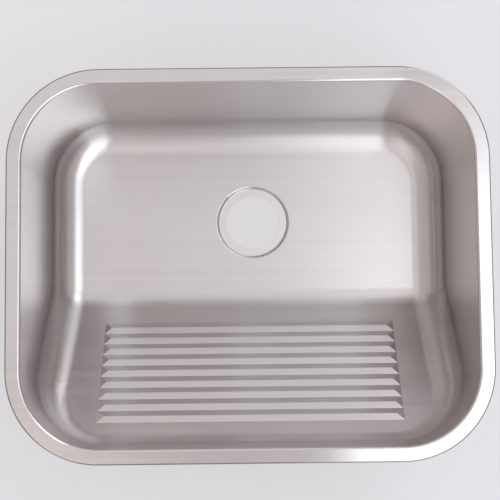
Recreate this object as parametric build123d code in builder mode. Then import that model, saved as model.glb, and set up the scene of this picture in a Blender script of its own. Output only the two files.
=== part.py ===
"""Laundry tub with a washboard, for setting into a worktop.

A pressed steel basin with a flat rim, a foam strip under the rim, damping pads on the
outside, and eight turn-out clamps that grip the worktop from below.

Millimetres, +Z up. The origin is the centre of the rim's seat on the worktop: X runs
along the length, -Y towards the user, who stands at the washboard.
"""

import os
from math import cos, radians, sin, tan

from build123d import *

# ---- rim, as set on the worktop ----
rim_length = 534.0  # along X, over the turned-down lip
rim_width = 435.0  # along Y
rim_radius = 102.0  # outer corners, in plan
flange_width = 17.0  # from the outer edge to the bowl's mouth
lip_drop = 2.5  # top of the flange to the lip's lower edge
lip_bend = 0.8  # inside radius of the lip's bend
mouth_bend = 2.0  # inside radius of the bend from flange to bowl wall
sheet = 1.0  # thickness of the steel
seal_thickness = 2.5
seal_width = 5.0

# ---- bowl ----
bowl_depth = 212.0  # top of the flange to the floor
wall_draft = 3.0  # degrees that each wall leans out from the floor to the mouth
bowl_fillet = 36.0  # wall to floor, wall to ramp and floor to ramp

# ---- washboard ----
ramp_slope = 42.0  # degrees from the floor
ramp_foot = -28.5  # Y of the line where floor and ramp would meet
rib_count = 9
rib_start = 48.8  # along the ramp, from its foot to the first crest
rib_pitch = 17.5
rib_length = 353.0
rib_base = 17.0  # width of a rib where it leaves the ramp
rib_crest = 0.8  # flat along the top of a rib
rib_height = 1.8

# ---- drain ----
drain_x = 6.0
drain_y = 68.5
drain_hole_radius = 33.7
recess_radius = 44.6  # where the recess leaves the floor
recess_drop = 5.0
recess_wall = 70.0  # degrees from the floor to the recess's sloping wall
recess_bend = 1.2  # inside radius of both bends in the recess
recess_skirt = 6.0  # flat ring of floor round the recess that is pressed with it

# ---- damping pads ----
floor_pad_length = 118.0
floor_pad_width = 150.0
floor_pad_gap = 16.0  # recess edge to the pad beside it
wall_pad_height = 90.0
side_pad_length = 130.0
side_pad_y = 35.0
back_pad_length = 220.0
wall_pad_thickness = 3.0
wall_pad_centre = 105.0  # below the worktop's top face, along the wall
pad_radius = 12.0

# ---- turn-out clamps ----
clamp_spacing_long = 220.0  # between the two clamps of a long side
clamp_spacing_short = 140.0
clamp_lift = 16.0  # travel of the claw up the screw
hanger_gauge = 1.0
hanger_width = 14.0
hanger_drop = 4.0  # worktop's top face to the hanger's upper lug
hanger_height = 35.0
hanger_bend = 0.6  # inside radius of the hanger's two bends
lug_margin = 1.4  # steel round the screw at the end of each lug
screw_diameter = 4.0
screw_tip = 1.5  # screw standing above the upper lug
screw_chamfer = 0.7
head_diameter = 8.0
head_height = 2.6
head_chamfer = 0.8
driver_slot_width = 1.0
driver_slot_depth = 1.3
collar_diameter = 6.4  # upset collar that holds the screw up in the lower lug
collar_height = 0.8
nut_size = 8.0  # square, its back flat runs along the hanger
nut_height = 3.5
nut_chamfer = 0.5  # on its four upright edges
neck_diameter = 5.4
neck_lip_diameter = 6.4
neck_lip_height = 0.5
claw_gauge = 2.0
claw_eye_diameter = 8.0
claw_reach = 20.0  # screw axis to the far face of the toe
claw_width = 6.4
toe_height = 3.5
tooth_count = 3
tooth_depth = 1.4

# ---- clearances ----
screw_clearance = 0.05  # radial, screw in lugs and nut
neck_clearance = 0.05  # radial, claw on the nut's neck
running_gap = 0.1  # along the screw, between pieces that turn on each other
nut_gap = 0.2  # nut and claw to the hanger's back
slot_clearance = 0.1  # each side of the screw in the lower lug's slot

# ---- worked out from the above ----
flange_top = seal_thickness + sheet
flange_under = flange_top - sheet
bowl_length = rim_length - 2 * flange_width
bowl_width = rim_width - 2 * flange_width
mouth_radius = rim_radius - flange_width
floor_z = flange_top - bowl_depth
slope = radians(ramp_slope)
draft = radians(wall_draft)
up_the_ramp = Vector(0, -cos(slope), sin(slope))
ramp_normal = Vector(0, sin(slope), cos(slope))
floor_pad_thickness = recess_drop  # so the tub stands level on pads and recess
axis_offset = hanger_gauge + nut_gap + nut_size / 2


def bowl_form(grow):
    """The bowl's hollow as a solid, larger by grow at the walls, floor and ramp."""
    spread = grow / cos(draft)
    bottom = floor_z - grow
    foot = ramp_foot - grow * tan(slope / 2)
    front = -rim_width
    with BuildPart() as form:
        with BuildSketch(Plane.XY.offset(flange_top)):
            RectangleRounded(
                bowl_length + 2 * spread, bowl_width + 2 * spread, mouth_radius + spread
            )
        extrude(amount=-(bowl_depth + grow), taper=wall_draft)
        with BuildSketch(Plane.YZ):
            with BuildLine():
                Polyline(
                    (foot, bottom),
                    (front, bottom + (foot - front) * tan(slope)),
                    (front, bottom - sheet),
                    (foot, bottom - sheet),
                    close=True,
                )
            make_face()
        extrude(amount=rim_length, both=True, mode=Mode.SUBTRACT)
        floor = form.faces().sort_by(Axis.Z)[0]
        ramp = form.faces().filter_by(lambda f: abs(f.normal_at().Z + cos(slope)) < 1e-6)[0]
        fillet(floor.edges() + (ramp.edges() - floor.edges()), bowl_fillet + grow)
    return form.part


def rib_plane(number, lift=0.0):
    """Plane of the ramp under a rib's middle, raised by lift."""
    along = rib_start + number * rib_pitch
    foot = Vector(0, ramp_foot, floor_z)
    return Plane(
        origin=foot + up_the_ramp * along + ramp_normal * lift, x_dir=(1, 0, 0), z_dir=ramp_normal
    )


def wall_plane(turn, reach, along):
    """Plane on a wall's outer face at the worktop's top: local Y out of it, local Z up it."""
    direction = Vector(1, 0, 0).rotate(Axis.Z, turn)
    outward = Vector(0, 1, 0).rotate(Axis.Z, turn)
    upward = Vector(0, sin(draft), cos(draft)).rotate(Axis.Z, turn)
    face = reach + sheet / cos(draft) - flange_top * tan(draft)
    return Plane(origin=outward * face + direction * along, x_dir=direction, z_dir=upward)


def save(shape, name):
    shape.label = name
    export_step(shape, f"parts/{name}.step")


def rib_solids(lift):
    """All ribs of the washboard, hipped at their ends, standing lift above the ramp."""
    with BuildPart() as ribs:
        for number in range(rib_count):
            with BuildSketch(rib_plane(number, lift)):
                Rectangle(rib_length, rib_base)
            with BuildSketch(rib_plane(number, lift + rib_height)):
                Rectangle(rib_length - rib_base + rib_crest, rib_crest)
            loft(ruled=True)
    return ribs.part


os.makedirs("parts", exist_ok=True)

# ---- basin: one pressing, with flange, bowl, washboard and drain recess ----
with BuildPart() as recess:
    skirt_radius = recess_radius + recess_skirt
    foot_radius = recess_radius - recess_drop / tan(radians(recess_wall))
    with BuildSketch(Plane.XZ):
        with BuildLine():
            FilletPolyline(
                (skirt_radius, floor_z),
                (recess_radius, floor_z),
                (foot_radius, floor_z - recess_drop),
                (drain_hole_radius, floor_z - recess_drop),
                radius=[recess_bend + sheet, recess_bend],
            )
            offset(amount=sheet, side=Side.LEFT)
        make_face()
    revolve(axis=Axis.Z)

with BuildPart() as basin:
    with BuildSketch(Plane.XY.offset(flange_top)):
        RectangleRounded(rim_length, rim_width, rim_radius)
    extrude(amount=-lip_drop)
    with BuildSketch(Plane.XY.offset(flange_under)):
        RectangleRounded(rim_length - 2 * sheet, rim_width - 2 * sheet, rim_radius - sheet)
    extrude(amount=-lip_drop, mode=Mode.SUBTRACT)
    fillet(basin.edges().group_by(Axis.Z)[-1], lip_bend + sheet)
    lip_corner = basin.faces().filter_by(Axis.Z).sort_by(Axis.Z)[-2]
    fillet(lip_corner.outer_wire().edges(), lip_bend)
    add(bowl_form(sheet))
    add(bowl_form(0), mode=Mode.SUBTRACT)
    top_face = basin.faces().filter_by(Axis.Z).sort_by(Axis.Z)[-1]
    fillet(top_face.inner_wires()[0].edges(), mouth_bend + sheet)
    under_face = basin.faces().filter_by(Axis.Z).group_by(Axis.Z)[-2][0]
    fillet(under_face.inner_wires()[0].edges(), mouth_bend)
    add(rib_solids(0))
    add(rib_solids(-sheet), mode=Mode.SUBTRACT)
    with BuildSketch(Plane.XY.offset(floor_z)):
        with Locations((drain_x, drain_y)):
            Circle(skirt_radius)
    extrude(amount=sheet, both=True, mode=Mode.SUBTRACT)
    add(recess.part.moved(Location((drain_x, drain_y, 0))))
save(basin.part, "basin")

# ---- foam strip between flange and worktop ----
with BuildPart() as rim_seal:
    inset = sheet + lip_bend
    with BuildSketch():
        RectangleRounded(rim_length - 2 * inset, rim_width - 2 * inset, rim_radius - inset)
        offset(amount=-seal_width, mode=Mode.SUBTRACT)
    extrude(amount=seal_thickness)
save(rim_seal.part, "rim_seal")

# ---- damping pads, stuck to the outside of floor and walls ----
pad_offset = recess_radius + floor_pad_gap + floor_pad_length / 2
for side, name in ((-1, "floor_pad_left"), (1, "floor_pad_right")):
    with BuildPart() as floor_pad:
        with BuildSketch(Plane.XY.offset(floor_z - sheet)):
            with Locations((drain_x + side * pad_offset, drain_y)):
                RectangleRounded(floor_pad_length, floor_pad_width, pad_radius)
        extrude(amount=-floor_pad_thickness)
    save(floor_pad.part, name)

for name, turn, reach, along, length in (
    ("back_pad", 0, bowl_width / 2, 0, back_pad_length),
    ("side_pad_left", 90, bowl_length / 2, side_pad_y, side_pad_length),
    ("side_pad_right", 270, bowl_length / 2, -side_pad_y, side_pad_length),
):
    with BuildPart() as wall_pad:
        with BuildSketch(Plane.XZ):
            with Locations((0, -wall_pad_centre)):
                RectangleRounded(length, wall_pad_height, pad_radius)
        extrude(amount=-wall_pad_thickness)
    save(wall_pad.part.moved(wall_plane(turn, reach, along).location), name)

# ---- turn-out clamp, in a wall's own frame: wall at Y 0, worktop's top at Z 0 ----
screw_radius = screw_diameter / 2
lug_top = -hanger_drop - hanger_gauge  # underside of the upper lug
lug_bottom = -hanger_drop - hanger_height + hanger_gauge  # top of the lower lug
lug_reach = axis_offset + screw_radius + lug_margin - hanger_gauge
screw_axis = Plane(origin=(0, axis_offset, 0))
nut_foot = lug_bottom + running_gap + collar_height + running_gap
nut_shoulder = nut_foot + nut_height
claw_foot = nut_shoulder + running_gap
claw_top = claw_foot + claw_gauge
neck_top = claw_top + running_gap + neck_lip_height

with BuildPart() as clamp_hanger:
    with BuildSketch(Plane.YZ):
        with BuildLine():
            FilletPolyline(
                (lug_reach + hanger_gauge, -hanger_drop),
                (0, -hanger_drop),
                (0, -hanger_drop - hanger_height),
                (lug_reach + hanger_gauge, -hanger_drop - hanger_height),
                radius=hanger_bend + hanger_gauge,
            )
            offset(amount=hanger_gauge, side=Side.LEFT)
        make_face()
    extrude(amount=hanger_width / 2, both=True)
    with BuildSketch(screw_axis.offset(lug_top)):
        Circle(screw_radius + screw_clearance)
    extrude(amount=hanger_gauge, mode=Mode.SUBTRACT)
    slot_width = screw_diameter + 2 * slot_clearance
    with BuildSketch(screw_axis.offset(lug_bottom)):
        Circle(slot_width / 2)
        with Locations((0, lug_reach / 2)):
            Rectangle(slot_width, lug_reach)
    extrude(amount=-hanger_gauge, mode=Mode.SUBTRACT)

with BuildPart() as clamp_screw:
    head_top = lug_bottom - hanger_gauge - running_gap
    with BuildSketch(screw_axis.offset(head_top)):
        Circle(head_diameter / 2)
    extrude(amount=-head_height)
    chamfer(clamp_screw.edges().sort_by(Axis.Z)[0], head_chamfer)
    with BuildSketch(screw_axis.offset(head_top - head_height)):
        Rectangle(head_diameter, driver_slot_width)
    extrude(amount=driver_slot_depth, mode=Mode.SUBTRACT)
    with BuildSketch(screw_axis.offset(head_top)):
        Circle(screw_radius)
    extrude(amount=-hanger_drop + screw_tip - head_top)
    chamfer(clamp_screw.edges().sort_by(Axis.Z)[-1], screw_chamfer)
    with BuildSketch(screw_axis.offset(lug_bottom + running_gap)):
        Circle(collar_diameter / 2)
    extrude(amount=collar_height)

with BuildPart() as clamp_nut:
    with BuildSketch(screw_axis.offset(nut_foot)):
        Rectangle(nut_size, nut_size)
    extrude(amount=nut_height)
    chamfer(clamp_nut.edges().filter_by(Axis.Z), nut_chamfer)
    with BuildSketch(screw_axis.offset(nut_shoulder)):
        Circle(neck_diameter / 2)
    extrude(amount=neck_top - nut_shoulder)
    with BuildSketch(screw_axis.offset(neck_top)):
        Circle(neck_lip_diameter / 2)
    extrude(amount=-neck_lip_height)
    with BuildSketch(screw_axis.offset(nut_foot)):
        Circle(screw_radius + screw_clearance)
    extrude(amount=neck_top - nut_foot, mode=Mode.SUBTRACT)

with BuildPart() as clamp_claw:
    with BuildSketch(screw_axis.offset(claw_foot)):
        Circle(claw_eye_diameter / 2)
        with Locations((claw_reach / 2, 0)):
            Rectangle(claw_reach, claw_width)
    extrude(amount=claw_gauge)
    toe_face = Plane(origin=(claw_reach, axis_offset, claw_foot), x_dir=(0, 1, 0), z_dir=(1, 0, 0))
    tooth_pitch = claw_width / tooth_count
    toe_top = claw_gauge + toe_height
    with BuildSketch(toe_face):
        with Locations((0, toe_top / 2)):
            Rectangle(claw_width, toe_top)
    extrude(amount=-claw_gauge)
    with BuildSketch(toe_face):
        for gap in range(tooth_count - 1):
            with Locations(((gap + 1 - tooth_count / 2) * tooth_pitch, toe_top)):
                Polygon((-tooth_pitch / 2, 0), (0, -tooth_depth), (tooth_pitch / 2, 0), align=None)
    extrude(amount=-claw_gauge, mode=Mode.SUBTRACT)
    with BuildSketch(screw_axis.offset(claw_foot)):
        Circle(neck_diameter / 2 + neck_clearance)
    extrude(amount=claw_gauge, mode=Mode.SUBTRACT)

clamp_pieces = {
    "clamp_hanger": clamp_hanger,
    "clamp_screw": clamp_screw,
    "clamp_nut": clamp_nut,
    "clamp_claw": clamp_claw,
}
stations = [
    wall_plane(turn, reach, side * spacing / 2)
    for turn, reach, spacing in (
        (0, bowl_width / 2, clamp_spacing_long),
        (90, bowl_length / 2, clamp_spacing_short),
        (180, bowl_width / 2, clamp_spacing_long),
        (270, bowl_length / 2, clamp_spacing_short),
    )
    for side in (-1, 1)
]
for number, station in enumerate(stations, start=1):
    for name, piece in clamp_pieces.items():
        save(piece.part.moved(station.location), f"{name}_{number}")
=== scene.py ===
from math import cos, pi, radians, sin, tan

import bmesh
import bpy
from mathutils import Matrix, Vector


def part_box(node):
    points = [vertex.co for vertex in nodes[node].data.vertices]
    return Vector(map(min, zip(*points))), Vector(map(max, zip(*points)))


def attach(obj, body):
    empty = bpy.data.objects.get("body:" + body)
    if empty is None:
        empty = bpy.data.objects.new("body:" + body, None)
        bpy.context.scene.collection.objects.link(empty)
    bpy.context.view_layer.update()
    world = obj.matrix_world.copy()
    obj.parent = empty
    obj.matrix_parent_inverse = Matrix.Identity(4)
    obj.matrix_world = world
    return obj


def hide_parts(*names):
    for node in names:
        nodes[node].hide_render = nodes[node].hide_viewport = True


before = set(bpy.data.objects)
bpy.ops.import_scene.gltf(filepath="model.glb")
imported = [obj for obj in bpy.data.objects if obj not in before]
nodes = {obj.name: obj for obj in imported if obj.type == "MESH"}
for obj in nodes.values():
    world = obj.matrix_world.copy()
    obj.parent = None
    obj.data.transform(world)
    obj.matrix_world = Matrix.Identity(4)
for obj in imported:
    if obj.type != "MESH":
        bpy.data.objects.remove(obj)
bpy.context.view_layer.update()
scene = bpy.context.scene

# ---- the tub's own places, read from the frame ----
SHEET = 0.001  # thickness of the pressed steel
basin_low, basin_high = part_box("basin")
rim_top = basin_high.z
foot_level = basin_low.z
DRAIN = Vector((0.006, 0.0685, foot_level + SHEET))  # middle of the drain seat, on its ring's face
STATIONS = range(1, 9)  # the clamps, in pairs round the rim

# ---- camera, as the photograph was taken ----
FOCAL_PIXELS = 1289.0
PICTURE_PIXELS = 500.0
SENSOR = 36.0  # millimetres
CAMERA_TILT = -5.21
CAMERA_YAW = 0.23
CAMERA_ROLL = 0.63
CAMERA_PLACE = Vector((-0.0045, -0.114, rim_top + 1.404))
NEAREST_SEEN = 0.01
FARTHEST_SEEN = 50.0

# ---- what counts as the same place or as flat, in metres and degrees ----
SAME_PLACE = 2e-6
FLAT = 0.2
HAIR = 1e-5  # less than any step in a piece


# ======================================================================================
# helpers
# ======================================================================================
def pick(piece):
    """Selects one piece alone and makes it the active one."""
    bpy.ops.object.select_all(action="DESELECT")
    piece.select_set(True)
    bpy.context.view_layer.objects.active = piece


def edit(piece):
    pick(piece)
    bpy.ops.object.mode_set(mode="EDIT")


def leave_edit():
    bpy.ops.object.mode_set(mode="OBJECT")


def select_whole():
    """In edit mode, selects the whole mesh."""
    bpy.ops.mesh.select_all(action="SELECT")


def merged_copy(node, name):
    """A new piece with a copy of a node's mesh: its corners merged, its flat faces in one."""
    piece = bpy.data.objects.new(name, nodes[node].data.copy())
    scene.collection.objects.link(piece)
    edit(piece)
    select_whole()
    bpy.ops.mesh.remove_doubles(threshold=SAME_PLACE)
    bpy.ops.mesh.dissolve_limited(angle_limit=radians(FLAT))
    leave_edit()
    bpy.ops.mesh.customdata_custom_splitnormals_clear()
    return piece


def select_by(piece, mode, wanted):
    """In edit mode, selects the vertices, edges or faces that pass the test, and no others."""
    bpy.ops.mesh.select_mode(type=mode)
    bpy.ops.mesh.select_all(action="DESELECT")
    shape = bmesh.from_edit_mesh(piece.data)
    parts = {"VERT": shape.verts, "EDGE": shape.edges, "FACE": shape.faces}[mode]
    for part in parts:
        if wanted(part):
            part.select = True
    shape.select_flush_mode()
    bmesh.update_edit_mesh(piece.data)


def settle(piece):
    """Puts a finished piece's place into its mesh."""
    pick(piece)
    bpy.ops.object.transform_apply(location=True, rotation=True, scale=True)


def shade(piece, angle):
    """Smooth shading up to an angle in degrees, with the normals weighed by face size."""
    pick(piece)
    bpy.ops.object.shade_smooth_by_angle(angle=radians(angle), keep_sharp_edges=True)
    weigh = piece.modifiers.new("weigh", "WEIGHTED_NORMAL")
    weigh.mode = "FACE_AREA"
    weigh.keep_sharp = True
    bpy.ops.object.modifier_apply(modifier=weigh.name)


def coat(piece, material):
    piece.data.materials.clear()
    piece.data.materials.append(material)


# ======================================================================================
# finishes
# ======================================================================================
class Value:
    """A shader socket that takes part in sums as a number does."""

    def __init__(self, finish, socket):
        self.finish = finish
        self.socket = socket

    def maths(self, operation, *terms):
        return self.finish.node("ShaderNodeMath", {"operation": operation}, dict(enumerate(terms)))

    def __add__(self, other):
        return self.maths("ADD", self, other)

    def __sub__(self, other):
        return self.maths("SUBTRACT", self, other)

    def __rsub__(self, other):
        return self.maths("SUBTRACT", other, self)

    def __mul__(self, other):
        return self.maths("MULTIPLY", self, other)

    def __abs__(self):
        return self.maths("ABSOLUTE", self)

    __radd__ = __add__
    __rmul__ = __mul__


class Finish:
    """A material under construction, with its shader and every node made by one method."""

    def __init__(self, name, **constants):
        self.material = bpy.data.materials.new(name)
        self.material.use_nodes = True
        self.tree = self.material.node_tree
        self.tree.nodes.clear()
        self.shader = self.tree.nodes.new("ShaderNodeBsdfPrincipled")
        self.surface = self.tree.nodes.new("ShaderNodeOutputMaterial").inputs["Surface"]
        self.tree.links.new(self.shader.outputs[0], self.surface)
        self.shade(**constants)
        self.place = self.node("ShaderNodeTexCoord", {}, {}, "Object")

    def feed(self, socket, value):
        """Links a value to a socket, or sets it there."""
        if isinstance(value, Value):
            self.tree.links.new(value.socket, socket)
        else:
            socket.default_value = value

    def node(self, kind, settings, inputs, output=0):
        """Makes a node, sets it, feeds its sockets by name or number and gives one output."""
        made = self.tree.nodes.new(kind)
        for setting, value in settings.items():
            setattr(made, setting, value)
        for socket, value in inputs.items():
            self.feed(made.inputs[socket], value)
        return Value(self, made.outputs[output])

    def shade(self, **values):
        """Feeds the shader's sockets, a _ standing for each space, and gives the material."""
        for socket, value in values.items():
            self.feed(self.shader.inputs[socket.replace("_", " ")], value)
        return self.material

    def finish_with(self, shader, share):
        """Mixes a share of another shader into the finish."""
        own = Value(self, self.shader.outputs[0])
        self.feed(self.surface, self.node("ShaderNodeMixShader", {}, {0: share, 1: own, 2: shader}))

    def vectors(self, operation, *terms, output=0):
        """Vector maths on places and directions."""
        settings = {"operation": operation}
        return self.node("ShaderNodeVectorMath", settings, dict(enumerate(terms)), output)

    def along(self, axis, vector):
        """A vector's share along one axis."""
        return self.node("ShaderNodeSeparateXYZ", {}, {0: vector}, axis)

    def noise(self, scale, stretch=(1, 1, 1), detail=3.0, roughness=0.5):
        """Noise on the piece's own coordinates, stretched by a factor along each axis."""
        return self.node(
            "ShaderNodeTexNoise",
            {"noise_dimensions": "3D"},
            {
                "Vector": self.vectors("MULTIPLY", self.place, stretch),
                "Scale": scale,
                "Detail": detail,
                "Roughness": roughness,
            },
        )

    def cells(self, scale, feature, output="Distance"):
        """Cells on the piece's own coordinates: the distance to them, or a colour for each."""
        settings = {"voronoi_dimensions": "3D", "feature": feature}
        inputs = {"Vector": self.place, "Scale": scale}
        return self.node("ShaderNodeTexVoronoi", settings, inputs, output)

    def between(self, value, low, high, to_low=0.0, to_high=1.0):
        """Takes the span low to high of a value to another span, and holds it there."""
        return self.node(
            "ShaderNodeMapRange",
            {"interpolation_type": "SMOOTHSTEP"},
            {
                "Value": value,
                "From Min": low,
                "From Max": high,
                "To Min": to_low,
                "To Max": to_high,
            },
        )

    def mix(self, factor, *colours):
        """Mixes two colours, each a value or its red, green and blue."""
        first, second = (part if isinstance(part, Value) else (*part, 1) for part in colours)
        inputs = {0: factor, 6: first, 7: second}
        return self.node("ShaderNodeMix", {"data_type": "RGBA"}, inputs, 2)

    def blend(self, factor, first, second):
        """Mixes two numbers."""
        return self.node("ShaderNodeMix", {"data_type": "FLOAT"}, {0: factor, 2: first, 3: second})

    def bump(self, height, distance, strength):
        """A normal for the shader, from a height between 0 and 1 that stands for a distance."""
        inputs = {"Height": height, "Distance": distance, "Strength": strength}
        return self.node("ShaderNodeBump", {}, inputs)


# where one face's finish gives way to another's, by place, in metres
# the lip's heights and facing mark where a painted shadow lies along the rim's outer edge
LIP_HEIGHTS = (-0.006, -0.004)  # from the rim's top, just under the lip
FLANGE_HEIGHTS = (-0.0025, -0.0008)  # from the rim's top, through the mouth's bend
RING_REACH = (0.044, 0.041)  # from the middle of the drain seat
# and by the way that the face looks
END_WALL_FACING = (0.75, 0.95)  # along Y
UNDERSIDE_FACING = (-0.005, -0.03)  # along Z
FLANGE_FACING = (0.5, 0.95)  # along Z
LIP_FACING = (0.015, 0.06)  # away from the tub's middle, times the distance from there
STREAK_SPAN = (0.36, 0.64)  # where the noise of the brushing mostly lies
FINE_GRAIN, FINE_RUN = 1100, 4  # changes to the metre, across the brushing and along it
BROAD_GRAIN, BROAD_RUN = 130, 1.5
FLANGE_POLISH = 0.7  # share of the grain's depth that is rubbed off the flange


def brushed_sheet():
    """Steel sheet brushed along X before it was pressed, with a dull mill face underneath, and a
    painted shadow darkening the rim's outer lip.

    The grain runs with the sheet: in planes across Y over floor, washboard and side walls,
    and level along the back and front walls.
    """
    finish = Finish("brushed_sheet", Metallic=1.0, Anisotropic=0.75)
    facing = finish.node("ShaderNodeNewGeometry", {}, {}, "Normal")
    upward = finish.along("Z", facing)
    height = finish.along("Z", finish.place) - rim_top
    from_middle = finish.vectors("MULTIPLY", finish.place, (1, 1, 0))
    outward = finish.vectors("DOT_PRODUCT", facing, from_middle, output="Value")
    from_drain = finish.vectors("DISTANCE", finish.place, DRAIN, output="Value")

    on_end_wall = finish.between(abs(finish.along("Y", facing)), *END_WALL_FACING)
    underside = finish.between(upward, *UNDERSIDE_FACING)
    ring = finish.between(from_drain, *RING_REACH)
    # lip: the outward face at the top of the rim, which carries the painted shadow
    lip = finish.between(outward, *LIP_FACING) * finish.between(height, *LIP_HEIGHTS)
    flange = finish.between(height, *FLANGE_HEIGHTS) * finish.between(upward, *FLANGE_FACING)

    def grain(lines, run):
        """Brushing lines across Y, and across Z on the end walls."""
        over_floor = finish.noise(1, (run, lines, run))
        over_end_wall = finish.noise(1, (run, run, lines))
        return finish.blend(on_end_wall, over_floor, over_end_wall)

    fine = grain(FINE_GRAIN, FINE_RUN)
    mottle = finish.noise(160, detail=4, roughness=0.65)
    streak = fine * 0.35 + grain(BROAD_GRAIN, BROAD_RUN) * 0.35 + finish.noise(9) * 0.3
    streak_share = finish.between(streak, *STREAK_SPAN)

    bright = finish.mix(streak_share, (0.635, 0.612, 0.604), (0.675, 0.650, 0.641))
    # the drain seat's ring is made lighter than the floor round it
    lighter_ring = finish.mix(finish.between(fine, 0.3, 0.7), (0.71, 0.69, 0.685), (0.75, 0.73, 0.725))
    # painted shadow: the rim's outer lip is coloured dark to draw a thin dark line round the rim,
    # varied by the mottle
    painted_lip_shadow = finish.mix(mottle, (0.26, 0.25, 0.245), (0.32, 0.31, 0.305))
    dull = finish.mix(mottle, (0.50, 0.49, 0.485), (0.57, 0.56, 0.555))
    upper_face = finish.mix(ring, bright, lighter_ring)

    satin = finish.between(streak, *STREAK_SPAN, 0.28, 0.33)
    smooth = finish.between(streak, *STREAK_SPAN, 0.14, 0.17)
    mill = finish.between(mottle, 0.3, 0.7, 0.40, 0.50)
    scratches = finish.blend(underside, fine * (1 - flange * FLANGE_POLISH), mottle)
    return finish.shade(
        Base_Color=finish.mix(lip, finish.mix(underside, upper_face, dull), painted_lip_shadow),
        Roughness=finish.blend(underside, finish.blend(flange, satin, smooth), mill),
        Normal=finish.bump(scratches, 0.000004, 0.5),
    )


def closed_cell_foam():
    """Dark foam strip, with its skin of small cells."""
    finish = Finish("foam_strip")
    patches = finish.noise(45)
    skin = finish.between(finish.cells(1100, "DISTANCE_TO_EDGE"), 0.02, 0.3)
    worn = finish.mix(patches, (0.085, 0.085, 0.09), (0.14, 0.14, 0.145))
    return finish.shade(
        Base_Color=finish.mix(skin, (0.045, 0.045, 0.048), worn),
        Roughness=finish.between(patches, 0.3, 0.7, 0.82, 0.95),
        Normal=finish.bump(skin, 0.0002, 0.7),
    )


def pad_rubber():
    """Damping rubber with a pebbled face, a little dusty where the dust settles."""
    finish = Finish("damping_rubber")
    pebbles = finish.cells(420, "SMOOTH_F1")
    dust = finish.between(finish.noise(22, detail=5, roughness=0.6), 0.45, 0.75)
    scuffs = finish.between(finish.noise(130, (1, 1, 6)), 0.55, 0.8)
    black = finish.mix(pebbles, (0.15, 0.15, 0.157), (0.21, 0.21, 0.22))
    dusted = finish.mix(dust, black, (0.27, 0.265, 0.26))
    return finish.shade(
        Base_Color=finish.mix(scuffs * 0.35, dusted, (0.34, 0.335, 0.33)),
        Roughness=finish.between(dust + scuffs, 0.0, 1.2, 0.66, 0.86),
        Normal=finish.bump(pebbles, 0.00022, 0.55),
    )


def rolled_strip():
    """Bright strip steel for the hangers: rolling lines up and down, and a few dull clouds."""
    finish = Finish("hanger_steel", Metallic=1.0)
    lines = finish.noise(1500, (1, 1, 0.012))
    clouds = finish.noise(90, detail=4, roughness=0.6)
    bright = finish.mix(lines, (0.53, 0.52, 0.51), (0.65, 0.64, 0.63))
    dull = finish.between(clouds, 0.5, 0.75)
    return finish.shade(
        Base_Color=finish.mix(dull * 0.6, bright, (0.46, 0.45, 0.44)),
        Roughness=finish.between(lines * 0.5 + clouds * 0.5, 0.35, 0.65, 0.27, 0.44),
        Normal=finish.bump(lines, 0.000012, 0.6),
    )


def plated_zinc():
    """Bright zinc plating for screws and nuts, blue-white with a straw tint in places."""
    finish = Finish("zinc_screw", Metallic=1.0)
    tint = finish.noise(260, detail=2)
    grain = finish.noise(2600, roughness=0.6)
    tinted = finish.mix(finish.between(tint, 0.4, 0.65), (0.68, 0.70, 0.735), (0.70, 0.695, 0.66))
    return finish.shade(
        Base_Color=finish.mix(grain * 0.35, tinted, (0.56, 0.57, 0.60)),
        Roughness=finish.between(grain * 0.5 + tint * 0.5, 0.35, 0.65, 0.22, 0.38),
        Normal=finish.bump(grain, 0.000008, 0.5),
    )


def spangled_zinc():
    """Hot-dipped claw steel: small zinc spangles, each of its own brightness."""
    finish = Finish("zinc_claw", Metallic=1.0)
    spangle = finish.cells(520, "F1", "Color")
    grain = finish.noise(1900, roughness=0.6)
    faces = finish.mix(spangle, (0.55, 0.56, 0.57), (0.72, 0.725, 0.73))
    return finish.shade(
        Base_Color=finish.mix(grain * 0.3, faces, (0.50, 0.50, 0.51)),
        Roughness=finish.between(spangle, 0.0, 1.0, 0.30, 0.46),
        Normal=finish.bump(grain, 0.00002, 0.6),
    )


steel = brushed_sheet()
foam = closed_cell_foam()
rubber = pad_rubber()
zinc = plated_zinc()
NODE_FINISHES = {
    "basin": steel,
    "rim_seal": foam,
    "floor_pad": rubber,
    "side_pad": rubber,
    "back_pad": rubber,
    "clamp_hanger": rolled_strip(),
    "clamp_screw": zinc,
    "clamp_nut": zinc,
    "clamp_claw": spangled_zinc(),
}
for start, material in NODE_FINISHES.items():
    for name in nodes:
        if name.startswith(start):
            coat(nodes[name], material)


# ---- basin ----
RIB_FIELD_REACH = 0.178  # half the length of the ribs, and a little
RIB_FIELD_BACK = -0.058  # Y between the floor's bend and the first rib
RIB_EDGE_ANGLE = radians(6.0)
RAMP_SLOPE = radians(42.0)
RAMP_FOOT = Vector((0, -0.0285, rim_top - 0.212))  # where floor and ramp would meet
CREST_LOWEST, CREST_HIGHEST = 0.0015, 0.002  # above the ramp, either side of the crests
CREST_ROUND = 0.0003
CREST_STEPS = 3
BASIN_SMOOTH = 24
FAR_OFF = 1000.0


def in_rib_field(corner):
    return abs(corner.co.x) < RIB_FIELD_REACH and corner.co.y < RIB_FIELD_BACK


def is_rib_edge(line):
    """True on the edges of the washboard's ribs, which are sharper than the bends round them."""
    return line.calc_face_angle(0.0) >= RIB_EDGE_ANGLE and all(map(in_rib_field, line.verts))


def is_crest_edge(line):
    """True on the edges of the narrow flat along the top of each rib."""
    off_ramp = Vector((0, sin(RAMP_SLOPE), cos(RAMP_SLOPE)))
    return all(
        in_rib_field(end)
        and CREST_LOWEST < (end.co - RAMP_FOOT).dot(off_ramp) < CREST_HIGHEST
        for end in line.verts
    )


def lay_grain(pressing):
    """Puts the shading's turning axis far off along X, so that the brushing runs along X."""
    pressing.data.use_auto_texspace = False
    pressing.data.texspace_location = (-FAR_OFF, 0, 0)
    pressing.data.texspace_size = (1, 1, 1)


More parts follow.
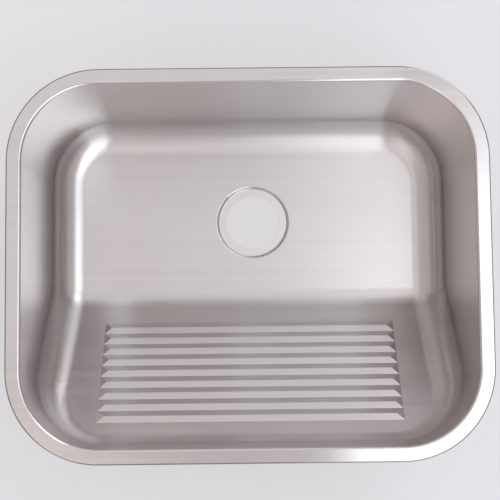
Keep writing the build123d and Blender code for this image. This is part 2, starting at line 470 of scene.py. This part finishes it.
def basin_pressing():
    pressing = merged_copy("basin", "basin_pressing")
    edit(pressing)
    select_by(pressing, "EDGE", is_crest_edge)
    bpy.ops.mesh.bevel(affect="EDGES", offset=CREST_ROUND, segments=CREST_STEPS)
    select_by(pressing, "EDGE", is_rib_edge)
    bpy.ops.mesh.mark_sharp()
    leave_edit()
    shade(pressing, BASIN_SMOOTH)
    coat(pressing, steel)
    lay_grain(pressing)
    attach(pressing, "tub")
    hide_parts("basin")


basin_pressing()

# ---- foam strip under the rim ----
STRIP_WIDTH = 0.005
STRIP_CORNER = 0.1002  # outer radius in plan
STRIP_EDGE = 0.0009  # rounding of the foam's long edges
STRIP_EDGE_STEPS = 3
LONG_EDGE_ANGLE = radians(80)  # the long edges turn by more than this, the corners by less
CORNER_STEPS = 20
STRIP_SMOOTH = 40


def foam_bead():
    low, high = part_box("rim_seal")
    length, width, height = high - low
    bpy.ops.object.select_all(action="DESELECT")
    bpy.ops.mesh.primitive_plane_add(size=1, location=(*((low + high) / 2).xy, low.z))
    bead = bpy.context.active_object
    bead.name = "foam_bead"
    bead.scale = (length, width, 1)
    settle(bead)
    edit(bead)
    select_whole()
    bpy.ops.mesh.bevel(affect="VERTICES", offset=STRIP_CORNER, segments=CORNER_STEPS)
    select_whole()
    bpy.ops.mesh.inset(thickness=STRIP_WIDTH)
    bpy.ops.mesh.delete(type="FACE")
    select_whole()
    bpy.ops.mesh.extrude_region_move(TRANSFORM_OT_translate={"value": (0, 0, height)})
    select_whole()
    bpy.ops.mesh.normals_make_consistent(inside=False)
    select_by(bead, "EDGE", lambda line: line.calc_face_angle(0.0) > LONG_EDGE_ANGLE)
    bpy.ops.mesh.bevel(affect="EDGES", offset=STRIP_EDGE, segments=STRIP_EDGE_STEPS)
    leave_edit()
    shade(bead, STRIP_SMOOTH)
    coat(bead, foam)
    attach(bead, "tub")
    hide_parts("rim_seal")


foam_bead()

# ---- clamp screws, with their thread ----
THREAD_PITCH = 0.0007
THREAD_DEPTH = 0.00043
THREAD_STEPS = 24  # round one turn
SHANK_RADIUS = 0.002
HEAD_HEIGHT = 0.0026
TIP_LENGTH = 0.0007
TIP_TAPER = 0.72
TURN_WELD = 1e-6  # what joins each turn of the thread to the next
DRAFT = radians(3.0)  # lean of the tub's walls, and so of the screws
SCREW_SMOOTH = 30


def screw_place(station):
    """A screw's frame and length.

    The frame has its origin at the middle of the tip, local X along the wall and local Z up
    the screw.
    """
    turn = (station - 1) // 2 * pi / 2
    along = Vector((cos(turn), sin(turn), 0))
    up = Vector((-sin(turn) * sin(DRAFT), cos(turn) * sin(DRAFT), cos(DRAFT)))
    corners = [corner.co for corner in nodes[f"clamp_screw_{station}"].data.vertices]
    heights = [corner.dot(up) for corner in corners]
    top = max(heights)
    tip = [corner for corner, height in zip(corners, heights) if height > top - HAIR]
    middle = (Vector(map(min, *tip)) + Vector(map(max, *tip))) / 2
    axes = Matrix((along, up.cross(along), up)).transposed().to_4x4()
    return Matrix.Translation(middle) @ axes, top - min(heights)


def thread(length):
    """A left-hand thread, closed at both ends, from the tip's middle at the origin down -Z."""
    bpy.ops.object.select_all(action="DESELECT")
    bpy.ops.mesh.primitive_circle_add(vertices=3, radius=THREAD_PITCH, fill_type="NOTHING")
    shank = bpy.context.active_object
    edit(shank)
    select_by(shank, "EDGE", lambda line: {end.index for end in line.verts} == {0, 2})
    bpy.ops.mesh.delete(type="EDGE")
    leave_edit()
    turns = int((length - TIP_LENGTH) / THREAD_PITCH)
    foot = -TIP_LENGTH - turns * THREAD_PITCH
    outline = ((0, 0), (THREAD_DEPTH, THREAD_PITCH / 2), (0, THREAD_PITCH))  # root, crest, root
    for corner, (height, rise) in zip(shank.data.vertices, outline):
        corner.co = (SHANK_RADIUS - THREAD_DEPTH + height, 0, foot + rise - THREAD_PITCH)
    wind = shank.modifiers.new("wind", "SCREW")
    wind.axis = "Z"
    wind.angle = -2 * pi
    wind.screw_offset = THREAD_PITCH
    wind.iterations = turns
    wind.steps = wind.render_steps = THREAD_STEPS
    pick(shank)
    bpy.ops.object.modifier_apply(modifier=wind.name)
    edit(shank)
    select_whole()
    bpy.ops.mesh.remove_doubles(threshold=TURN_WELD)
    near_tip = -2 * THREAD_PITCH
    select_by(shank, "EDGE", lambda line: line.is_boundary and line.verts[0].co.z > near_tip)
    bpy.ops.mesh.extrude_edges_move()
    bpy.ops.transform.resize(value=(TIP_TAPER, TIP_TAPER, 0), center_override=(0, 0, 0))
    bpy.ops.mesh.edge_face_add()
    select_by(shank, "EDGE", lambda line: line.is_boundary)
    bpy.ops.mesh.edge_face_add()
    select_whole()
    bpy.ops.mesh.normals_make_consistent(inside=False)
    leave_edit()
    return shank


def is_on_shank(face):
    return all(corner.co.xy.length < SHANK_RADIUS + HAIR for corner in face.verts)


def threaded_screw():
    """The first station's screw in its own frame: the CAD's head and collar on a thread."""
    place, length = screw_place(1)
    head = merged_copy("clamp_screw_1", "screw_head")
    head.data.transform(place.inverted())
    edit(head)
    select_by(head, "FACE", is_on_shank)
    bpy.ops.mesh.delete(type="FACE")
    select_whole()
    bpy.ops.mesh.fill_holes(sides=0)
    leave_edit()
    shank = thread(length - HEAD_HEIGHT)
    pick(head)
    shank.select_set(True)
    bpy.ops.object.join()
    shade(head, SCREW_SMOOTH)
    return head


def clamp_screws():
    pattern = threaded_screw()
    for station in STATIONS:
        screw = bpy.data.objects.new(f"threaded_screw_{station}", pattern.data.copy())
        scene.collection.objects.link(screw)
        screw.data.transform(screw_place(station)[0])
        coat(screw, zinc)
        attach(screw, f"screw_{station}")
        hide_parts(f"clamp_screw_{station}")
    bpy.data.objects.remove(pattern)


clamp_screws()


# ======================================================================================
# studio
# ======================================================================================
FLOOR_REACH = 24.0
FLOOR_GREY = (0.64, 0.635, 0.665, 1.0)
FLOOR_LIFT = 0.4  # share of plain white that the floor and what mirrors it show
WHITE = (1, 1, 1, 1)
SEEN_RAYS = ("Is Camera Ray", "Is Glossy Ray", "Is Transmission Ray")
LAMP_DISTANCE = 8.0
AMBIENT = (0.63, 0.583, 0.578, 1.0)
# name, azimuth and polar angle, half angles across and along, turn about the lamp's own
# axis, all in degrees, and its radiance in red, green and blue
LAMPS = (
    ("window", -52.7, 34.4, 37.9, 15.6, 54.8, (1.32, 1.43, 1.56)),
    ("back_panel", 98.5, 33.0, 33.3, 13.3, 80.9, (0.28, 0.295, 0.315)),
    ("side_lamp", 57.0, 69.3, 12.8, 38.4, -1.6, (2.22, 2.20, 2.38)),
    ("low_panel", -124.0, 55.9, 46.4, 11.0, -90.0, (0.66, 0.585, 0.59)),
)


def studio_floor():
    bpy.ops.object.select_all(action="DESELECT")
    bpy.ops.mesh.primitive_plane_add(size=FLOOR_REACH, location=(0, 0, foot_level))
    floor = bpy.context.active_object
    floor.name = "floor"
    finish = Finish("floor", Roughness=0.9, Specular_IOR_Level=0.1, Base_Color=FLOOR_GREY)
    seen = sum(finish.node("ShaderNodeLightPath", {}, {}, ray) for ray in SEEN_RAYS)
    white = finish.node("ShaderNodeEmission", {}, {"Color": WHITE}, "Emission")
    finish.finish_with(white, seen * FLOOR_LIFT)
    coat(floor, finish.material)


def softbox(name, azimuth, polar, half_across, half_along, turn, radiance):
    """A flat lamp of even brightness that faces the tub, placed and sized by its angles."""
    away = Vector((sin(polar) * cos(azimuth), sin(polar) * sin(azimuth), cos(polar)))
    level = Vector((0, 0, 1)).cross(away).normalized()
    rise = away.cross(level)
    across = cos(turn) * level + sin(turn) * rise
    along = cos(turn) * rise - sin(turn) * level
    lamp = bpy.data.lights.new(name, "AREA")
    lamp.shape = "RECTANGLE"
    lamp.size = 2 * LAMP_DISTANCE * tan(half_across)
    lamp.size_y = 2 * LAMP_DISTANCE * tan(half_along)
    lamp.color = radiance
    lamp.energy = pi * lamp.size * lamp.size_y
    holder = bpy.data.objects.new(name, lamp)
    scene.collection.objects.link(holder)
    axes = Matrix((across, along, away)).transposed().to_4x4()
    holder.matrix_world = Matrix.Translation(away * LAMP_DISTANCE) @ axes


def studio_world():
    world = bpy.data.worlds.new("studio")
    world.use_nodes = True
    world.node_tree.nodes["Background"].inputs["Color"].default_value = AMBIENT
    scene.world = world


def photo_camera():
    camera = bpy.data.cameras.new("camera")
    camera.sensor_width = SENSOR
    camera.lens = FOCAL_PIXELS * SENSOR / PICTURE_PIXELS
    camera.clip_start = NEAREST_SEEN
    camera.clip_end = FARTHEST_SEEN
    holder = bpy.data.objects.new("camera", camera)
    scene.collection.objects.link(holder)
    turn = (
        Matrix.Rotation(radians(CAMERA_ROLL), 4, "Z")
        @ Matrix.Rotation(radians(CAMERA_TILT), 4, "X")
        @ Matrix.Rotation(radians(CAMERA_YAW), 4, "Y")
    )
    holder.matrix_world = Matrix.Translation(CAMERA_PLACE) @ turn.transposed()
    scene.camera = holder


studio_floor()
for name, *angles, radiance in LAMPS:
    softbox(name, *map(radians, angles), radiance)
studio_world()
photo_camera()
scene.view_settings.view_transform = "Standard"
